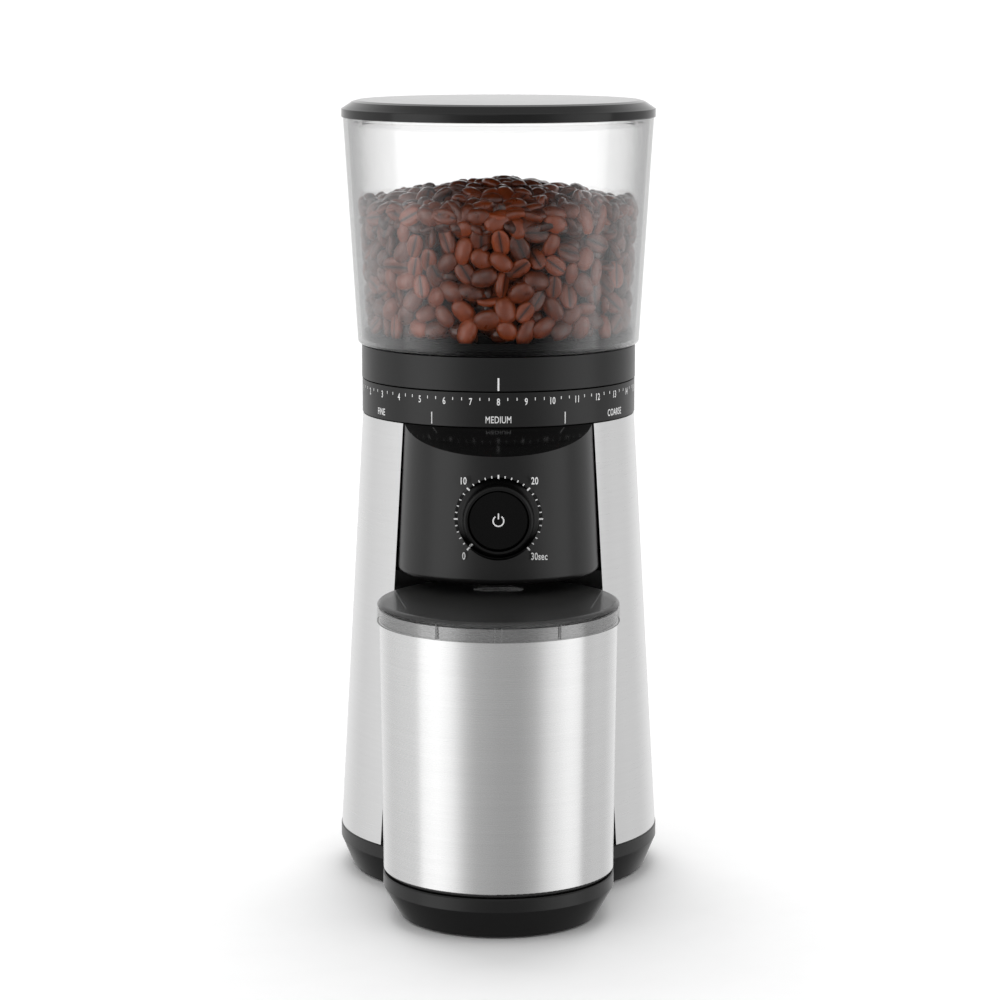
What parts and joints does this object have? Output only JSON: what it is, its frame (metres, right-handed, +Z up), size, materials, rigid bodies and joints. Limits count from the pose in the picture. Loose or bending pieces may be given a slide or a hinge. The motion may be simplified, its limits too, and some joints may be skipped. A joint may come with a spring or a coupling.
{
  "type": "burr coffee grinder",
  "caption": "Electric burr coffee grinder with a clear bean hopper, turning grind ring, timer dial with a centre start button, steel skirt and a steel grounds cup under a tinted lid.",
  "frame": {"origin": "middle of the footprint on the worktop, at the bottom of the rubber feet", "axes": "+Z up; the dial and the grounds cup face -Y; +X is to the right of a person who stands in front of it"},
  "size_m": [0.1714, 0.2518, 0.414],
  "materials": {
    "black_plastic": "satin",
    "gloss_black": "gloss",
    "body_steel": "horizontal brushed",
    "cup_steel": "horizontal brushed",
    "clear_plastic": "clear gloss",
    "smoke_plastic": "tinted gloss",
    "silicone": "matte",
    "frame_plastic": "moulded",
    "burr_steel": "ground",
    "machined_steel": "turned",
    "gear_nylon": "moulded",
    "bronze": "sintered",
    "motor_shell": "zinc plated",
    "ferrite": "matte",
    "copper": "enamelled winding",
    "carbon": "sintered",
    "circuit_board": "solder mask",
    "component_case": "moulded",
    "transformer_core": "varnished laminations",
    "wire_cover": "satin",
    "screw_steel": "zinc plated",
    "foot_rubber": "matte"
  },
  "bodies": {
    "grinder_body": {"base_shell": "black_plastic", "base_plate": "frame_plastic", "plate_screws": "screw_steel", "rubber_feet": "foot_rubber", "steel_skirt": "body_steel", "inner_frame": "frame_plastic", "cord_gland": "black_plastic", "bay_wall": "black_plastic", "dial_housing": "black_plastic", "timer_encoder": "component_case", "timer_board": "circuit_board", "start_switch": "component_case", "scale_ring": "black_plastic", "click_spring": "machined_steel", "grind_chamber": "frame_plastic", "grounds_chute": "frame_plastic", "carrier_spring": "machined_steel", "shaft_seal": "silicone", "idler_axle": "machined_steel", "gearbox_tray": "frame_plastic", "gearbox_cover": "frame_plastic", "gearbox_screws": "screw_steel", "shaft_bushings": "bronze", "motor_isolator": "silicone", "motor_can": "motor_shell", "motor_endbell": "frame_plastic", "motor_magnets": "ferrite", "motor_brushes": "carbon", "power_board": "circuit_board", "power_transformer": "transformer_core", "power_capacitors": "component_case", "motor_leads": "wire_cover", "dial_leads": "wire_cover"},
    "adjusting_ring": {"adjusting_ring": "black_plastic"},
    "hopper": {"hopper": "clear_plastic", "hopper_floor": "black_plastic"},
    "hopper_shutter": {"hopper_shutter": "black_plastic", "shutter_knob": "black_plastic"},
    "hopper_lid": {"hopper_lid": "gloss_black", "lid_plug": "clear_plastic", "lid_gasket": "silicone"},
    "burr_carrier": {"burr_carrier": "frame_plastic", "ring_burr": "burr_steel"},
    "burr_drive": {"cone_burr": "burr_steel", "sweeper_plate": "frame_plastic", "drive_shaft": "machined_steel", "burr_nut": "screw_steel", "output_gear": "gear_nylon"},
    "idler": {"idler_gear": "gear_nylon"},
    "motor_rotor": {"motor_pinion": "machined_steel", "motor_shaft": "machined_steel", "motor_armature": "transformer_core", "motor_windings": "copper", "motor_commutator": "copper"},
    "timer_knob": {"timer_knob": "black_plastic", "timer_shaft": "machined_steel"},
    "start_button": {"start_button": "gloss_black"},
    "grounds_cup": {"cup_shell": "cup_steel", "cup_foot": "silicone"},
    "cup_lid": {"cup_lid": "smoke_plastic"}
  },
  "joints": [
    {"name": "grind_adjust", "type": "hinge", "parent": "grinder_body", "child": "adjusting_ring", "pos_m": [0, 0.04015, 0.2755], "axis": [0, 0, 1], "range_deg": [-79.5, 79.5], "deforming": ["click_spring"]},
    {"name": "burr_gap", "type": "slide", "parent": "grinder_body", "child": "burr_carrier", "axis": [0, 0, 1], "range_m": [-0.0007, 0.0007], "deforming": ["carrier_spring"]},
    {"name": "hopper_lift", "type": "slide", "parent": "adjusting_ring", "child": "hopper", "axis": [0, 0, 1], "range_m": [0, 0.06]},
    {"name": "shutter_turn", "type": "hinge", "parent": "hopper", "child": "hopper_shutter", "pos_m": [0, 0.04015, 0.262], "axis": [0, 0, 1], "range_deg": [0, 90]},
    {"name": "lid_lift", "type": "slide", "parent": "hopper", "child": "hopper_lid", "axis": [0, 0, 1], "range_m": [0, 0.08]},
    {"name": "motor_spin", "type": "hinge", "parent": "grinder_body", "child": "motor_rotor", "pos_m": [0.00816, 0.07185, 0.12], "axis": [0, 0, 1], "continuous": true},
    {"name": "idler_spin", "type": "hinge", "parent": "grinder_body", "child": "idler", "pos_m": [0.03807, 0.0579, 0.17], "axis": [0, 0, 1], "continuous": true},
    {"name": "burr_spin", "type": "hinge", "parent": "grinder_body", "child": "burr_drive", "pos_m": [0, 0.04015, 0.2], "axis": [0, 0, 1], "continuous": true},
    {"name": "timer_turn", "type": "hinge", "parent": "grinder_body", "child": "timer_knob", "pos_m": [0, -0.06, 0.2045], "axis": [0, 1, 0], "range_deg": [0, 270]},
    {"name": "start_press", "type": "slide", "parent": "grinder_body", "child": "start_button", "axis": [0, 1, 0], "range_m": [0, 0.0015], "stiffness_N_per_m": 800, "springref_m": -0.0005},
    {"name": "cup_slide", "type": "slide", "parent": "grinder_body", "child": "grounds_cup", "axis": [0, -1, 0], "range_m": [0, 0.16]},
    {"name": "cup_lid_lift", "type": "slide", "parent": "grounds_cup", "child": "cup_lid", "axis": [0, 0, 1], "range_m": [0, 0.0054]}
  ],
  "couplings": [
    {"joint": "burr_gap", "follows": "grind_adjust", "m_per_rad": 0.0005},
    {"joint": "idler_spin", "follows": "motor_spin", "ratio": -0.22222},
    {"joint": "burr_spin", "follows": "motor_spin", "ratio": 0.060606}
  ]
}
